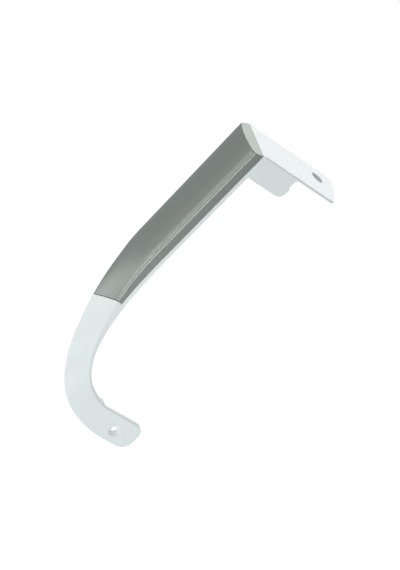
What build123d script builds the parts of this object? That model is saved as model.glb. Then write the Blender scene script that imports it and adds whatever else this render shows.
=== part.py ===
from build123d import *
import math
import os

# Fridge door handle: one white moulded body and one silver snap-on cover.
# Sizes are in millimetres. X runs across the handle, Y into the door, Z up the grip.
# Everything is drawn from the front corner of the top plate and moved at the end,
# so that the screw hole in the plate stands on the origin.

# The grip's centre line: straight down, then one sweep towards the door.
grip_centre_y = -1.8
straight_length = 100.0
sweep_start_pull = 97.0
sweep_end_pull = 34.5
sweep_end_y = 57.0
sweep_end_z = -230.8
sweep_end_rise = 4.5
arm_end_y = 54.5

# The section's four corners at the top and at the arm's end, across and outward.
top_front_left = -30.3
roll_front_left = -28.6
top_front_right = 6.2
top_left_height = 8.6
top_right_height = 8.2
top_back_left = -40.0
top_back_right = -1.2
top_half_depth = 7.2
arm_back_left = -7.5
arm_half_depth = 10.8
arm_back_drop = 4.5
crown_at_top = 3.2
left_crown_at_top = 1.3
crown_at_arm = 0.1
roll_start = 95.0
roll_end = 250.0

# The section's front corners are rounded and its back corners are cut flat.
front_left_round = 4.6
front_right_round = 3.6
arm_front_round = 1.2
back_cut = 1.1
arm_back_cut = 1.6

# The cover.
cover_wall = 1.6
cover_back_edge = -1.8
cover_cut_left_x = -20.0
cover_cut_left_z = -158.5
cover_cut_right_x = 3.0
cover_cut_right_z = -143.0
cover_edge_cut = 0.4
shadow_gap = 0.4

# The body's walls, ribs and pockets.
body_wall = 2.0
back_wall = 2.4
rib_wall = 1.6
rib_count = 4
pocket_bottom_z = -134.0
core_corner_round = 0.6
arm_pocket_depth = 5.0
arm_pocket_bottom_z = -236.0
arm_pocket_top_z = -224.0
arm_wall = 2.4

# The pad at the arm's end, which lies against the front of the door.
pad_length = 6.5
pad_left_x = -10.5
pad_top_z = -219.9
pad_bottom_z = -239.0
pad_round = 2.0
pad_edge_cut = 0.8

# The top plate with the boss under its screw hole, and its two skirts.
plate_width = 38.0
plate_thickness = 1.6
plate_near_length = 68.5
plate_far_length = 80.0
plate_end_bulge = 2.0
plate_corner_round = 4.5
plate_edge_cut = 0.6
boss_radius = 6.8
boss_height = 2.0
plate_recess_depth = 2.2
skirt_drop = 19.0
skirt_end_y = 33.6
skirt_wall = 2.2
skirt_round = 5.0
skirt_step = 1.2
skirt_step_z = -10.0
skirt_root_round = 2.5

# The screw tab.
tab_thickness = 3.4
tab_end_y = 94.0
tab_top_z = -220.0
tab_bottom_z = -243.2
tab_root_y = 48.0
tab_root_z = -239.4
tab_straight_y = 72.0
tab_end_round = 9.0
tab_edge_cut = 0.6
tab_sink_depth = 2.0

# Both screw holes take a 4.2 mm countersunk screw with a head of about 8.5 mm.
screw_hole_radius = 2.3
countersink_radius = 4.7
plate_hole_x = -24.0
plate_hole_y = 61.0
tab_hole_y = 75.0
tab_hole_z = -233.0

# How far the cutting shapes run past the handle, and the core's loft past the cover.
beyond = 60.0
core_overrun = 34.0

# The smooth loft takes over from the straight run this far above the sweep.
loft_lead = 20.0
lead_stations = 4
sweep_stations = 13
steps_per_station = 20


def ease(x):
    x = min(max(x, 0.0), 1.0)
    return x * x * (3.0 - 2.0 * x)


def mix(a, b, share):
    return a + (b - a) * share


def bezier(p0, p1, p2, p3, t):
    s = 1.0 - t
    return s**3 * p0 + 3.0 * s * s * t * p1 + 3.0 * s * t * t * p2 + t**3 * p3


def bezier_slope(p0, p1, p2, p3, t):
    s = 1.0 - t
    return s * s * (p1 - p0) + 2.0 * s * t * (p2 - p1) + t * t * (p3 - p2)


def sweep_y(rule, t):
    return rule(grip_centre_y, grip_centre_y, sweep_end_y - sweep_end_pull, sweep_end_y, t)


def sweep_z(rule, t):
    start = -straight_length
    return rule(start, start - sweep_start_pull, sweep_end_z + sweep_end_rise, sweep_end_z, t)


def stations():
    """Planes along the grip, each with its distance from the top end."""
    found = []
    lead_runs = [straight_length - loft_lead * (1.0 - i / lead_stations) for i in range(lead_stations)]
    for run in (0.0, *lead_runs):
        plane = Plane(origin=(0, grip_centre_y, -run), x_dir=(1, 0, 0), z_dir=(0, 0, -1))
        found.append((plane, run))
    run = straight_length
    y_before = grip_centre_y
    z_before = -straight_length
    step_count = sweep_stations * steps_per_station
    for k in range(step_count + 1):
        t = k / step_count
        y = sweep_y(bezier, t)
        z = sweep_z(bezier, t)
        run += math.hypot(y - y_before, z - z_before)
        y_before = y
        z_before = z
        if k % steps_per_station == 0:
            along = (0, sweep_y(bezier_slope, t), sweep_z(bezier_slope, t))
            plane = Plane(origin=(0, y, z), x_dir=(1, 0, 0), z_dir=along)
            found.append((plane, run))
    return found


def corners(run):
    """How far the section has rolled, and its corners from front left to back left."""
    roll = ease((run - roll_start) / (roll_end - roll_start))
    half = mix(top_half_depth, arm_half_depth, roll)
    left = mix(top_front_left, roll_front_left, min(run / roll_start, 1.0))
    front_left = (mix(left, 0.0, roll), mix(top_left_height, arm_half_depth, roll))
    front_right = (mix(top_front_right, 0.0, roll), mix(top_right_height, -arm_half_depth, roll))
    back_right = (mix(top_back_right, arm_back_left, roll), -half)
    back_left = (
        mix(top_back_left, arm_back_left, roll),
        mix(-top_half_depth, arm_half_depth - arm_back_drop, roll),
    )
    return roll, front_left, front_right, back_right, back_left


def bowed(start, end, bulge):
    """A side that bows outwards by the bulge."""
    span = math.dist(start, end)
    middle_x = (start[0] + end[0]) / 2 + (start[1] - end[1]) / span * bulge
    middle_y = (start[1] + end[1]) / 2 + (end[0] - start[0]) / span * bulge
    return ThreePointArc(start, (middle_x, middle_y), end).edge()


def corner_of(face, point):
    return face.vertices().sort_by_distance((point[0], point[1], 0))[0]


def outline(plane, points, roll, rounds, cuts):
    """A four-sided section with a crowned front and a bowed left side.

    From the front left corner on, corners get the rounds and then the flat cuts.
    """
    face = Face(Wire([
        bowed(points[0], points[1], mix(crown_at_top, crown_at_arm, roll)),
        Line(points[1], points[2]).edge(),
        Line(points[2], points[3]).edge(),
        bowed(points[3], points[0], mix(left_crown_at_top, crown_at_arm, roll)),
    ]))
    for point, radius in zip(points, rounds):
        face = face.fillet_2d(radius, [corner_of(face, point)])
    for point, cut in zip(points[len(rounds):], cuts):
        face = face.chamfer_2d(cut, cut, [corner_of(face, point)])
    return plane * face


def section(plane, run):
    """The grip's outer section at one station."""
    roll, *points = corners(run)
    left = mix(front_left_round, arm_front_round, roll)
    right = mix(front_right_round, arm_front_round, roll)
    back = mix(back_cut, arm_back_cut, roll)
    return outline(plane, points, roll, (left, right), (back, back))


def moved_in(points, steps):
    """The four-sided outline with each side moved inwards by its own step."""
    sides = []
    for i in range(4):
        a = points[i]
        b = points[(i + 1) % 4]
        span = math.dist(a, b)
        in_x = (b[1] - a[1]) / span * steps[i]
        in_y = (a[0] - b[0]) / span * steps[i]
        sides.append(((a[0] + in_x, a[1] + in_y), (b[0] + in_x, b[1] + in_y)))
    found = []
    for i in range(4):
        (x1, y1), (x2, y2) = sides[i - 1]
        (x3, y3), (x4, y4) = sides[i]
        across = (x1 - x2) * (y3 - y4) - (y1 - y2) * (x3 - x4)
        first = x1 * y2 - y1 * x2
        second = x3 * y4 - y3 * x4
        x = (first * (x3 - x4) - (x1 - x2) * second) / across
        y = (first * (y3 - y4) - (y1 - y2) * second) / across
        found.append((x, y))
    return found


def flat_for(radius):
    """How far a flat cut reaches that touches the round of the same corner."""
    return radius * (2.0 - math.sqrt(2.0))


def core_section(plane, run):
    """The body's section where it lies inside the cover."""
    roll, *points = corners(run)
    left = mix(front_left_round - cover_wall, core_corner_round, roll)
    right = mix(front_right_round - cover_wall, core_corner_round, roll)
    cuts = (flat_for(left), flat_for(right))
    return outline(plane, moved_in(points, (cover_wall,) * 4), roll, (), cuts)


def pocket_section(plane, run):
    """The hollow under the cover, open to the front."""
    roll, *points = corners(run)
    side = cover_wall + body_wall
    fl, fr, br, bl = moved_in(points, (0.0, side, back_wall, side))
    rise = crown_at_top * 2
    face = Polygon(bl, br, (fr[0], fr[1] + rise), (fl[0], fl[1] + rise), align=None)
    return plane * face


def front_slab(plane, run):
    """Everything in front of the cover's back edge."""
    left = -plate_width - beyond
    face = Polygon(
        (left, cover_back_edge),
        (beyond, cover_back_edge),
        (beyond, beyond),
        (left, beyond),
        align=None,
    )
    return plane * face


def along_grip(rule, places):
    """A solid through the sections: straight-sided at first, then one smooth loft."""
    straight = loft([rule(plane, run) for plane, run in places[:2]], ruled=True)
    swept = loft([rule(plane, run) for plane, run in places[1:]])
    return straight + swept


def box_between(x1, x2, y1, y2, z1, z2):
    middle = Pos((x1 + x2) / 2, (y1 + y2) / 2, (z1 + z2) / 2)
    return middle * Box(abs(x2 - x1), abs(y2 - y1), abs(z2 - z1))


def slice_between(z1, z2):
    """All that lies between two heights."""
    return box_between(-plate_width - beyond, beyond, -beyond, tab_end_y + beyond, z1, z2)


def above_cut(drop):
    """The side of the slanting cut on which the cover lies."""
    slope = (cover_cut_right_z - cover_cut_left_z) / (cover_cut_right_x - cover_cut_left_x)
    left = -plate_width - beyond
    left_z = cover_cut_left_z + slope * (left - cover_cut_left_x) - drop
    right_z = cover_cut_left_z + slope * (beyond - cover_cut_left_x) - drop
    face = Plane.XZ * Polygon((left, left_z), (beyond, right_z), (beyond, beyond), (left, beyond), align=None)
    return extrude(face, beyond, both=True)


places = stations()
grip_places = [place for place in places if place[1] < core_overrun - cover_cut_left_z]
envelope = along_grip(section, places)
envelope &= box_between(-plate_width - beyond, beyond, -beyond, arm_end_y, sweep_end_z - beyond, beyond)
core = along_grip(core_section, grip_places)
slab = along_grip(front_slab, grip_places)
pocket = along_grip(pocket_section, grip_places)
under_end_wall = slice_between(-cover_wall, tab_bottom_z)
cover_room = slab & above_cut(shadow_gap)

# The cover: the front of the envelope down to the slanting cut, hollowed by the core.
cover = envelope & slab & above_cut(0.0)
top_edges = cover.edges().group_by(Axis.Z)[-1]
cover = chamfer(top_edges.sort_by(Axis.Y)[:-1], cover_edge_cut)
cover -= core & under_end_wall

# The body: the rest of the envelope with the channel that fills the cover.
body = envelope - cover_room
body += core & under_end_wall & slab & above_cut(shadow_gap * 2)
pocket_top_z = -cover_wall - body_wall
body -= pocket & slice_between(pocket_bottom_z, pocket_top_z)
for i in range(rib_count):
    z = mix(pocket_top_z, pocket_bottom_z, (i + 1) / (rib_count + 1))
    body += core & slab & slice_between(z - rib_wall / 2, z + rib_wall / 2)

# The pad at the arm's end, cored from the side that lies against the door.
pad_face = Plane.XZ.offset(-arm_end_y) * Polygon(
    (pad_left_x, pad_bottom_z),
    (-pad_round, pad_bottom_z),
    (-pad_round, pad_top_z),
    (pad_left_x, pad_top_z),
    align=None,
)
pad = extrude(pad_face, pad_length)
pad = fillet(pad.edges().filter_by(Axis.Y).group_by(Axis.X)[0], pad_round)
pad = chamfer(pad.edges().group_by(Axis.Y)[0], pad_edge_cut)
body += pad
body -= box_between(
    pad_left_x + arm_wall,
    -arm_wall,
    arm_end_y - arm_pocket_depth,
    arm_end_y,
    arm_pocket_bottom_z,
    arm_pocket_top_z,
)

# The top plate, with a boss under its screw hole.
plate_end = ThreePointArc(
    (0, plate_near_length),
    (-plate_width / 2, (plate_near_length + plate_far_length) / 2 + plate_end_bulge),
    (-plate_width, plate_far_length),
)
plate_sides = Polyline((-plate_width, plate_far_length), (-plate_width, 0), (0, 0), (0, plate_near_length))
plate_face = make_face([plate_end.edge(), *plate_sides.edges()])
plate_face = fillet(plate_face.vertices().group_by(Axis.Y)[1:], plate_corner_round)
plate = extrude(plate_face, -plate_thickness)
eased = [edge for edge in plate.edges().group_by(Axis.Z)[-1] if edge.center().Y > plate_edge_cut]
plate = chamfer(eased, plate_edge_cut)
boss = Pos(plate_hole_x, plate_hole_y, -(plate_thickness + boss_height) / 2) * Cylinder(
    boss_radius,
    boss_height + plate_thickness,
)
boss_underside = plate_thickness + boss_height

# The two skirts under the plate, with a step low on their ends and a rounded root.
plate_middle_z = -plate_thickness / 2
skirt_face = Plane.YZ * Polygon(
    (0, plate_middle_z),
    (0, -skirt_drop),
    (skirt_end_y + skirt_step, -skirt_drop),
    (skirt_end_y + skirt_step, skirt_step_z),
    (skirt_end_y, skirt_step_z),
    (skirt_end_y, -plate_thickness),
    (skirt_end_y + skirt_root_round * 2, -plate_thickness),
    (skirt_end_y + skirt_root_round * 2, plate_middle_z),
    align=None,
)
root = skirt_face.vertices().sort_by_distance((0, skirt_end_y, -plate_thickness))[0]
skirt_face = fillet(root, skirt_root_round)
low = skirt_face.vertices().sort_by_distance((0, skirt_end_y + skirt_step, -skirt_drop))[0]
skirt_face = fillet(low, skirt_round)
right_skirt = extrude(skirt_face, -skirt_wall)
left_skirt = Pos(skirt_wall - plate_width, 0, 0) * right_skirt

# The screw tab. Its lower edge carries the arm's outline on.
under_arm = TangentArc((tab_straight_y, tab_bottom_z), (tab_root_y, tab_root_z), tangent=(-1, 0))
tab_sides = Polyline(
    (tab_root_y, tab_root_z),
    (tab_root_y, tab_top_z),
    (tab_end_y, tab_top_z),
    (tab_end_y, tab_bottom_z),
    (tab_straight_y, tab_bottom_z),
)
tab_face = Plane.YZ * make_face([under_arm.edge(), *tab_sides.edges()])
for z in (tab_bottom_z, tab_top_z):
    corner = tab_face.vertices().sort_by_distance((0, tab_end_y, z))[0]
    tab_face = fillet(corner, tab_end_round)
tab = extrude(tab_face, -tab_thickness)
tab = chamfer(tab.edges().group_by(Axis.X)[-1], tab_edge_cut)

body += plate + boss + right_skirt + left_skirt + tab
cover -= plate + right_skirt + left_skirt

# The screw holes: a round recess in the plate and a countersink in the tab.
across = Rot(0, 90, 0)
body -= Pos(plate_hole_x, plate_hole_y, 0) * Cylinder(screw_hole_radius, boss_underside * 3)
body -= Pos(plate_hole_x, plate_hole_y, 0) * Cylinder(countersink_radius, plate_recess_depth * 2)
body -= Pos(0, tab_hole_y, tab_hole_z) * across * Cylinder(screw_hole_radius, tab_thickness * 3)
body -= Pos(-tab_sink_depth / 2, tab_hole_y, tab_hole_z) * across * Cone(
    screw_hole_radius,
    countersink_radius,
    tab_sink_depth,
)

os.makedirs("parts", exist_ok=True)
to_origin = Pos(-plate_hole_x, -plate_hole_y, boss_underside)
for name, shape in (("handle_body", body), ("grip_cover", cover)):
    solid = (to_origin * shape).solids()[0]
    solid.label = name
    export_step(solid, "parts/" + name + ".step")
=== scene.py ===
"""Fridge door handle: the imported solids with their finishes, on a plain studio stage."""

import math

import bmesh
import bpy
from mathutils import Euler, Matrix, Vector


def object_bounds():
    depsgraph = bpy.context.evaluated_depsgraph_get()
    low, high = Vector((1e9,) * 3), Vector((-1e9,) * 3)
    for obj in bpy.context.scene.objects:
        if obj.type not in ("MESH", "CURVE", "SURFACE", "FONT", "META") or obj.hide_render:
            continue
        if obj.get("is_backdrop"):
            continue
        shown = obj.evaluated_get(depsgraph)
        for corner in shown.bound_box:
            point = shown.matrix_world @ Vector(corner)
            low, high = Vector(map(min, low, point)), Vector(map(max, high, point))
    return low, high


bl_info = {
    "name": "Fridge door handle",
    "version": (1, 0, 0),
    "blender": (4, 5, 0),
    "location": "3D View > Sidebar > Handle",
    "description": "Finishes a fridge door handle with a silver grip cover and sets its studio",
    "category": "Object",
}

# The colour sockets of Blender's Mix node, whose names it shares with other sockets.
MIX_FACTOR = 0
MIX_LOW_COLOUR = 6
MIX_HIGH_COLOUR = 7
MIX_COLOUR_RESULT = 2

# Directions that are averaged where an edge looks rounded.
BEVEL_SAMPLES = 8

# White ABS. Its flow marks are hardly seen, and the mould's polish leaves fine ripples.
ABS_IOR = 1.53
FLOW_MARK_MM = 30.0
RIPPLE_MM = 2.0
RIPPLE_HEIGHT = 0.00002

# Silver lacquer. Sprayed clear coat settles into a faint orange peel.
FLAKE_HEIGHT = 0.00003
ORANGE_PEEL_MM = 3.0
ORANGE_PEEL_HEIGHT = 0.00002
LACQUER_EDGE_TINT = "c8cccc"

# The background paper's own light and the room's light, as shares of full white.
PAPER_COLOUR = "eceeee"
PAPER_OWN_LIGHT = 0.55
ROOM_COLOUR = "f4f8f8"
ROOM_LIGHT = 0.62
FLOOR_HALF_WIDTH = 6.0

# The camera's lens in millimetres, and the point in its middle, in metres: across, into
# the door and below the top plate. They were fitted to the photo's edges.
LENS_MM = 212.2
SENSOR_WIDTH_MM = 36.0
VIEW_END = 20.0
AIM_X = 0.0169
AIM_Y = -0.0181
AIM_DROP = 0.1057

# Each lamp's name, its azimuth and elevation from the aim in degrees, its distance, width
# and height in metres, and its power in watts.
SOFTBOXES = (
    # Even light on the plate, and the sheen on the plate and on the cover's end.
    ("top_softbox", 0.0, 90.0, 1.4, 1.0, 1.0, 1.2),
    ("back_softbox", 144.0, 30.0, 1.3, 0.8, 0.5, 3.7),
    # The bands of light down the cover's front, its ridge and its side.
    ("front_strip", -94.0, -22.0, 1.25, 0.28, 0.7, 1.9),
    ("corner_strip", -48.0, -27.0, 1.25, 0.3, 0.7, 3.3),
    ("side_strip", 6.0, -22.0, 1.25, 0.25, 0.7, 3.5),
    # The brighter front and side of the cover's lower end, which look down.
    ("low_front_softbox", 222.0, -42.0, 0.9, 0.6, 0.4, 1.2),
    ("low_back_softbox", 87.0, -42.0, 0.9, 0.6, 0.4, 2.8),
)

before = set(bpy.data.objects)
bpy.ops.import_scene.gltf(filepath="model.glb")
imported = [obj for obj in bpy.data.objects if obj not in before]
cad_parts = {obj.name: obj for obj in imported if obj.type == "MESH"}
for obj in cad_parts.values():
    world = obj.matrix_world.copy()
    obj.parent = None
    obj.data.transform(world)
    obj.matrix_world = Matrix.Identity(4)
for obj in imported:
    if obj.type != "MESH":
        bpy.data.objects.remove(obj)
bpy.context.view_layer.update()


def hex_to_linear(text):
    """sRGB hex such as d9dfdf to the linear colour that shaders want."""
    channels = []
    for i in (0, 2, 4):
        value = int(text[i:i + 2], 16) / 255.0
        channels.append(value / 12.92 if value <= 0.04045 else ((value + 0.055) / 1.055) ** 2.4)
    return (*channels, 1.0)


def per_metre(size_mm):
    """Scale of a pattern on Object coordinates whose cells are this many millimetres wide."""
    return 1000.0 / size_mm


def add_node(tree, kind, settings=None, inputs=None, links=None):
    """Adds one node with its settings, its sockets' values and its incoming links."""
    node = tree.nodes.new(kind)
    for name, value in (settings or {}).items():
        setattr(node, name, value)
    for name, value in (inputs or {}).items():
        node.inputs[name].default_value = value
    for name, source in (links or {}).items():
        tree.links.new(source, node.inputs[name])
    return node


def add_two_tone(tree, low_hex, high_hex, factor):
    """Colour between two sRGB hex values, as the factor goes from none to one."""
    mix = add_node(
        tree,
        "ShaderNodeMix",
        settings={"data_type": "RGBA"},
        inputs={MIX_LOW_COLOUR: hex_to_linear(low_hex), MIX_HIGH_COLOUR: hex_to_linear(high_hex)},
        links={MIX_FACTOR: factor},
    )
    return mix.outputs[MIX_COLOUR_RESULT]


def add_soft_edges(tree, finish):
    """Surface direction with the moulded edges rounded by a little."""
    bevel = add_node(
        tree,
        "ShaderNodeBevel",
        settings={"samples": BEVEL_SAMPLES},
        inputs={"Radius": finish.edge_softness},
    )
    return bevel.outputs["Normal"]


def new_material(name):
    material = bpy.data.materials.new(name)
    material.use_nodes = True
    material.node_tree.nodes.clear()
    return material


class HandleFinish(bpy.types.PropertyGroup):
    """The colours and surface sizes of the handle's two mouldings."""

    body_colour: bpy.props.StringProperty(
        name="Body colour",
        description="Colour of the white moulding, as an sRGB hex value",
        default="dce2e2",
    )
    body_shade_colour: bpy.props.StringProperty(
        name="Body shade",
        description="Colour of the faint flow marks in the white moulding, as an sRGB hex value",
        default="d6dcdc",
    )
    cover_colour: bpy.props.StringProperty(
        name="Cover colour",
        description="Colour of the lightest silver flakes, as an sRGB hex value",
        default="7a807c",
    )
    cover_shade_colour: bpy.props.StringProperty(
        name="Cover shade",
        description="Colour of the darkest silver flakes, as an sRGB hex value",
        default="6d736f",
    )
    flake_size: bpy.props.FloatProperty(
        name="Flake size",
        description="Width of one silver flake, in millimetres",
        default=0.35,
        min=0.05,
        max=2.0,
    )
    edge_softness: bpy.props.FloatProperty(
        name="Edge softness",
        description="Radius by which the moulded edges look rounded",
        default=0.0005,
        min=0.0,
        max=0.002,
        unit="LENGTH",
        subtype="DISTANCE",
    )


class HandleStage(bpy.types.PropertyGroup):
    """The camera's place and the studio round the handle."""

    backdrop_colour: bpy.props.StringProperty(
        name="Backdrop colour",
        description="Colour of the light from the floor and from behind it, as an sRGB hex value",
        default="ffffff",
    )
    camera_distance: bpy.props.FloatProperty(
        name="Camera distance",
        description="From the camera to the point it looks at",
        default=1.6133,
        unit="LENGTH",
        subtype="DISTANCE",
    )
    camera_azimuth: bpy.props.FloatProperty(
        name="Camera azimuth",
        description="Direction of the camera round the handle, from +X",
        default=math.radians(-35.69),
        unit="ROTATION",
        subtype="ANGLE",
    )
    camera_elevation: bpy.props.FloatProperty(
        name="Camera elevation",
        description="How far the camera looks down",
        default=math.radians(19.19),
        unit="ROTATION",
        subtype="ANGLE",
    )
    camera_roll: bpy.props.FloatProperty(
        name="Camera roll",
        description="How far the camera is turned round its line of sight",
        default=math.radians(44.89),
        unit="ROTATION",
        subtype="ANGLE",
    )
    floor_drop: bpy.props.FloatProperty(
        name="Floor drop",
        description="How far the floor lies under the handle",
        default=0.8,
        unit="LENGTH",
        subtype="DISTANCE",
    )


def white_abs(finish):
    """White ABS from a polished steel mould.

    The eye gets an even, slightly cool white with a soft sheen. The sheen ripples a
    little, as a polished mould does, and the moulded edges catch thin lines of light.
    """
    material = new_material("moulded_white_abs")
    tree = material.node_tree
    place = add_node(tree, "ShaderNodeTexCoord")
    flow = add_node(
        tree,
        "ShaderNodeTexNoise",
        inputs={"Scale": per_metre(FLOW_MARK_MM), "Detail": 3.0, "Roughness": 0.5},
        links={"Vector": place.outputs["Object"]},
    )
    colour = add_two_tone(tree, finish.body_shade_colour, finish.body_colour, flow.outputs["Fac"])
    ripple = add_node(
        tree,
        "ShaderNodeTexNoise",
        inputs={"Scale": per_metre(RIPPLE_MM), "Detail": 2.0, "Roughness": 0.4},
        links={"Vector": place.outputs["Object"]},
    )
    sheen = add_node(
        tree,
        "ShaderNodeMapRange",
        inputs={"To Min": 0.32, "To Max": 0.42},
        links={"Value": ripple.outputs["Fac"]},
    )
    bump = add_node(
        tree,
        "ShaderNodeBump",
        inputs={"Strength": 0.15, "Distance": RIPPLE_HEIGHT},
        links={"Height": ripple.outputs["Fac"], "Normal": add_soft_edges(tree, finish)},
    )
    shader = add_node(
        tree,
        "ShaderNodeBsdfPrincipled",
        inputs={"IOR": ABS_IOR},
        links={
            "Base Color": colour,
            "Roughness": sheen.outputs["Result"],
            "Normal": bump.outputs["Normal"],
        },
    )
    add_node(tree, "ShaderNodeOutputMaterial", links={"Surface": shader.outputs["BSDF"]})
    return material


def silver_lacquer(finish):
    """Silver flake lacquer sprayed on ABS, under a clear coat.

    The eye gets a mid grey metal with a broad soft highlight and a fine grain of flakes.
    The clear coat adds a second, slightly sharper highlight, and turned edges go darker.
    """
    material = new_material("sprayed_silver_flake_lacquer")
    tree = material.node_tree
    place = add_node(tree, "ShaderNodeTexCoord")
    # Real flakes are under 0.1 mm wide, so they are drawn coarse enough to show.
    flakes = add_node(
        tree,
        "ShaderNodeTexVoronoi",
        inputs={"Scale": per_metre(finish.flake_size), "Randomness": 1.0},
        links={"Vector": place.outputs["Object"]},
    )
    grain = add_node(tree, "ShaderNodeSeparateColor", links={"Color": flakes.outputs["Color"]})
    colour = add_two_tone(
        tree, finish.cover_shade_colour, finish.cover_colour, grain.outputs["Red"]
    )
    edges = add_soft_edges(tree, finish)
    tilt = add_node(
        tree,
        "ShaderNodeBump",
        inputs={"Strength": 0.06, "Distance": FLAKE_HEIGHT},
        links={"Height": grain.outputs["Green"], "Normal": edges},
    )
    peel = add_node(
        tree,
        "ShaderNodeTexNoise",
        inputs={"Scale": per_metre(ORANGE_PEEL_MM), "Detail": 1.0},
        links={"Vector": place.outputs["Object"]},
    )
    coat = add_node(
        tree,
        "ShaderNodeBump",
        inputs={"Strength": 0.06, "Distance": ORANGE_PEEL_HEIGHT},
        links={"Height": peel.outputs["Fac"], "Normal": edges},
    )
    shader = add_node(
        tree,
        "ShaderNodeBsdfPrincipled",
        inputs={
            "Metallic": 1.0,
            "Roughness": 0.38,
            "Specular Tint": hex_to_linear(LACQUER_EDGE_TINT),
            "Coat Weight": 0.3,
            "Coat Roughness": 0.28,
        },
        links={
            "Base Color": colour,
            "Normal": tilt.outputs["Normal"],
            "Coat Normal": coat.outputs["Normal"],
        },
    )
    add_node(tree, "ShaderNodeOutputMaterial", links={"Surface": shader.outputs["BSDF"]})
    return material


def give_finish(node_name, material):
    """Makes the material the only one on a solid of the frame."""
    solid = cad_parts[node_name]
    solid.data.materials.clear()
    solid.data.materials.append(material)


class HANDLE_OT_body(bpy.types.Operator):
    """Give the moulded body its white ABS"""

    bl_idname = "handle.body"
    bl_label = "Finish body"

    def execute(self, context):
        give_finish("handle_body", white_abs(context.scene.handle_finish))
        return {"FINISHED"}


class HANDLE_OT_cover(bpy.types.Operator):
    """Give the grip cover its silver lacquer"""

    bl_idname = "handle.cover"
    bl_label = "Finish cover"

    def execute(self, context):
        give_finish("grip_cover", silver_lacquer(context.scene.handle_finish))
        return {"FINISHED"}


def seen_directly(tree):
    """One where a camera, glossy or transmission ray arrives, and none for diffuse light."""
    path = add_node(tree, "ShaderNodeLightPath")
    glossy = add_node(
        tree,
        "ShaderNodeMath",
        settings={"operation": "MAXIMUM"},
        links={0: path.outputs["Is Camera Ray"], 1: path.outputs["Is Glossy Ray"]},
    )
    clear = add_node(
        tree,
        "ShaderNodeMath",
        settings={"operation": "MAXIMUM"},
        links={0: glossy.outputs[0], 1: path.outputs["Is Transmission Ray"]},
    )
    return clear.outputs[0]


def white_paper(colour):
    """Matt white background paper.

    The eye gets a clean white with the handle's shadow on it: the paper's own light is
    added only to what the camera and mirrors see, on top of what the lamps give it.
    """
    material = new_material("white_seamless_paper")
    tree = material.node_tree
    paper = add_node(
        tree,
        "ShaderNodeBsdfDiffuse",
        inputs={"Color": hex_to_linear(PAPER_COLOUR)},
    )
    own_light = add_node(
        tree,
        "ShaderNodeMath",
        settings={"operation": "MULTIPLY"},
        inputs={1: PAPER_OWN_LIGHT},
        links={0: seen_directly(tree)},
    )
    glow = add_node(
        tree,
        "ShaderNodeEmission",
        inputs={"Color": colour},
        links={"Strength": own_light.outputs[0]},
    )
    both = add_node(tree, "ShaderNodeAddShader", links={0: paper.outputs[0], 1: glow.outputs[0]})
    add_node(tree, "ShaderNodeOutputMaterial", links={"Surface": both.outputs[0]})
    return material


def studio_world(colour):
    """Even room light, with white behind the handle where the camera and mirrors look."""
    world = bpy.data.worlds.new("studio")
    world.use_nodes = True
    tree = world.node_tree
    tree.nodes.clear()
    room = add_node(
        tree,
        "ShaderNodeBackground",
        inputs={"Color": hex_to_linear(ROOM_COLOUR), "Strength": ROOM_LIGHT},
    )
    white = add_node(tree, "ShaderNodeBackground", inputs={"Color": colour, "Strength": 1.0})
    shown = add_node(
        tree,
        "ShaderNodeMixShader",
        links={0: seen_directly(tree), 1: room.outputs[0], 2: white.outputs[0]},
    )
    add_node(tree, "ShaderNodeOutputWorld", links={"Surface": shown.outputs[0]})
    return world


def direction(azimuth, elevation):
    """Unit vector from the handle, by angles in radians round it from +X and up."""
    return Vector((
        math.cos(elevation) * math.cos(azimuth),
        math.cos(elevation) * math.sin(azimuth),
        math.sin(elevation),
    ))


def add_softbox(aim, name, azimuth, elevation, distance, width, height, power):
    """A rectangular area lamp that faces the aim, with the measures of one row of SOFTBOXES."""
    data = bpy.data.lights.new(name, "AREA")
    data.shape = "RECTANGLE"
    data.size = width
    data.size_y = height
    data.energy = power
    lamp = bpy.data.objects.new(name, data)
    bpy.context.scene.collection.objects.link(lamp)
    away = direction(math.radians(azimuth), math.radians(elevation))
    lamp.location = aim + away * distance
    lamp.rotation_euler = away.to_track_quat("Z", "Y").to_euler()


def add_camera(stage, aim):
    """The camera at the photo's angle."""
    data = bpy.data.cameras.new("camera")
    data.sensor_fit = "HORIZONTAL"
    data.sensor_width = SENSOR_WIDTH_MM
    data.lens = LENS_MM
    data.clip_end = VIEW_END
    camera = bpy.data.objects.new("camera", data)
    bpy.context.scene.collection.objects.link(camera)
    away = direction(stage.camera_azimuth, stage.camera_elevation)
    camera.location = aim + away * stage.camera_distance
    turn = away.to_track_quat("Z", "Y").to_matrix() @ Euler((0, 0, stage.camera_roll)).to_matrix()
    camera.rotation_euler = turn.to_euler()
    bpy.context.scene.camera = camera


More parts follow.
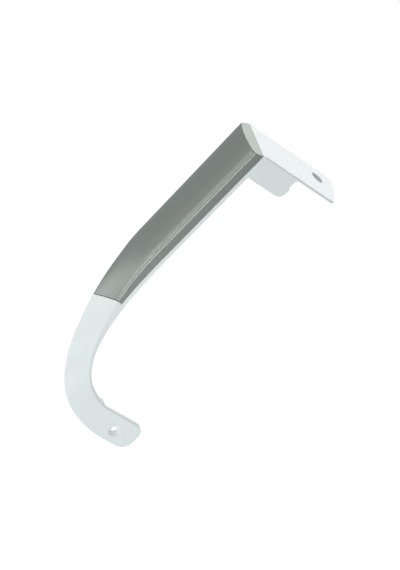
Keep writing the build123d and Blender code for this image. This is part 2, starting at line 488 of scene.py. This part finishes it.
def add_floor(height, colour):
    """A level sheet of white paper at this height."""
    mesh = bpy.data.meshes.new("floor")
    made = bmesh.new()
    bmesh.ops.create_grid(made, x_segments=1, y_segments=1, size=FLOOR_HALF_WIDTH)
    bmesh.ops.translate(made, verts=made.verts, vec=(0, 0, height))
    made.to_mesh(mesh)
    made.free()
    mesh.materials.append(white_paper(colour))
    floor = bpy.data.objects.new("floor", mesh)
    bpy.context.scene.collection.objects.link(floor)
    floor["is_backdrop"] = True


class HANDLE_OT_stage(bpy.types.Operator):
    """Set the floor, the lamps, the world and the camera"""

    bl_idname = "handle.stage"
    bl_label = "Set stage"

    def execute(self, context):
        scene = context.scene
        stage = scene.handle_stage
        colour = hex_to_linear(stage.backdrop_colour)
        scene.view_settings.view_transform = "Standard"
        scene.world = studio_world(colour)
        low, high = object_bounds()
        aim = Vector((AIM_X, AIM_Y, high[2] - AIM_DROP))
        add_camera(stage, aim)
        add_floor(low[2] - stage.floor_drop, colour)
        for measures in SOFTBOXES:
            add_softbox(aim, *measures)
        return {"FINISHED"}


class HANDLE_PT_panel(bpy.types.Panel):
    """Lists the handle's finishes and its stage"""

    bl_idname = "HANDLE_PT_panel"
    bl_label = "Fridge door handle"
    bl_space_type = "VIEW_3D"
    bl_region_type = "UI"
    bl_category = "Handle"

    def draw(self, context):
        layout = self.layout
        for operator in OPERATORS:
            layout.operator(operator.bl_idname)
        for group in (context.scene.handle_finish, context.scene.handle_stage):
            for name in group.__annotations__:
                layout.prop(group, name)


OPERATORS = (HANDLE_OT_body, HANDLE_OT_cover, HANDLE_OT_stage)
CLASSES = (HandleFinish, HandleStage, *OPERATORS, HANDLE_PT_panel)


def register():
    for cls in CLASSES:
        bpy.utils.register_class(cls)
    bpy.types.Scene.handle_finish = bpy.props.PointerProperty(type=HandleFinish)
    bpy.types.Scene.handle_stage = bpy.props.PointerProperty(type=HandleStage)


def unregister():
    del bpy.types.Scene.handle_stage
    del bpy.types.Scene.handle_finish
    for cls in reversed(CLASSES):
        bpy.utils.unregister_class(cls)


def main():
    register()
    bpy.ops.handle.body()
    bpy.ops.handle.cover()
    bpy.ops.handle.stage()


if __name__ == "__main__":
    main()
